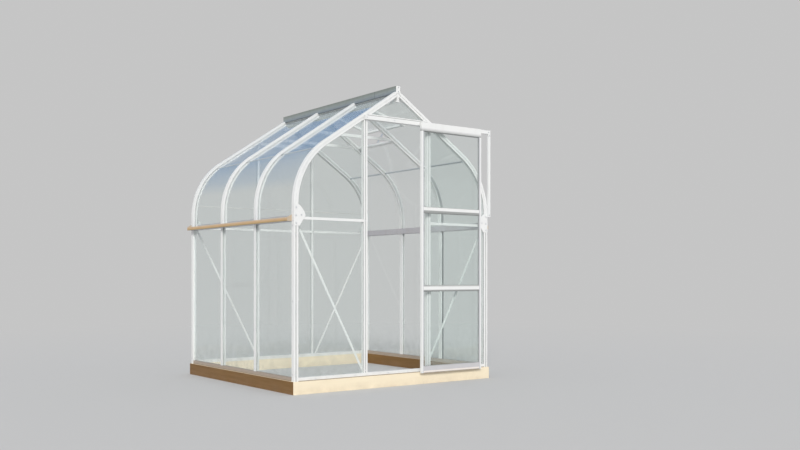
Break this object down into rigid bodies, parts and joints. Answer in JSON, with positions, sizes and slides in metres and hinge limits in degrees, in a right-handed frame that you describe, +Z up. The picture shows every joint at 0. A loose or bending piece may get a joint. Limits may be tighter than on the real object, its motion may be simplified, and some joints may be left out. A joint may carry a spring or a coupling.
{
  "type": "polycarbonate greenhouse",
  "caption": "Walk-in hobby greenhouse with curved eaves, clear panes on white bars, a low base, a propped roof vent and a top-hung sliding door.",
  "frame": {"origin": "on the ground at the middle of the whole object's outline", "axes": "+X to the right seen from the door, +Y to the back gable, +Z up"},
  "size_m": [2.018, 1.8976, 2.429],
  "materials": {
    "white_paint": "satin white paint",
    "clear_glazing": "clear sheet",
    "door_glazing": "clear sheet",
    "base_boards": "painted boards",
    "gutter_paint": "satin paint",
    "ridge_paint": "satin paint",
    "dark_caps": "moulded",
    "nylon": "moulded",
    "bright_metal": "mill finish"
  },
  "bodies": {
    "frame": {"back_arch": "white_paint", "back_gable_panes": "clear_glazing", "back_header": "white_paint", "back_mid_rails": "white_paint", "back_studs": "white_paint", "base_back": "base_boards", "base_front": "base_boards", "base_sides": "base_boards", "collar_ties": "white_paint", "corner_posts": "white_paint", "door_jambs": "white_paint", "door_track": "white_paint", "front_arch": "white_paint", "front_gable_panes": "clear_glazing", "front_header": "white_paint", "front_mid_rails": "white_paint", "gable_braces": "white_paint", "gusset_plates": "white_paint", "gutter_end_caps": "dark_caps", "gutter_left": "gutter_paint", "gutter_right": "gutter_paint", "left_eave_panes": "clear_glazing", "left_roof_panes": "clear_glazing", "left_wall_panes": "clear_glazing", "middle_arches": "white_paint", "ridge_beam": "white_paint", "ridge_cap": "ridge_paint", "ridge_end_caps": "white_paint", "right_eave_panes": "clear_glazing", "right_roof_panes": "clear_glazing", "right_wall_panes": "clear_glazing", "side_sills": "white_paint", "sill_back": "white_paint", "sill_front": "white_paint", "track_strut": "white_paint", "vent_frame": "white_paint", "vent_pane": "clear_glazing", "vent_sill": "white_paint", "vent_stay": "bright_metal", "wall_posts": "white_paint"},
    "door": {"door_bottom_rail": "white_paint", "door_hangers": "bright_metal", "door_mid_rails": "white_paint", "door_panes": "door_glazing", "door_rollers": "nylon", "door_stiles": "white_paint", "door_top_rail": "white_paint"}
  },
  "joints": [
    {"name": "door_slide", "type": "slide", "parent": "frame", "child": "door", "axis": [-1, 0, 0], "range_m": [0, 0.532]}
  ]
}
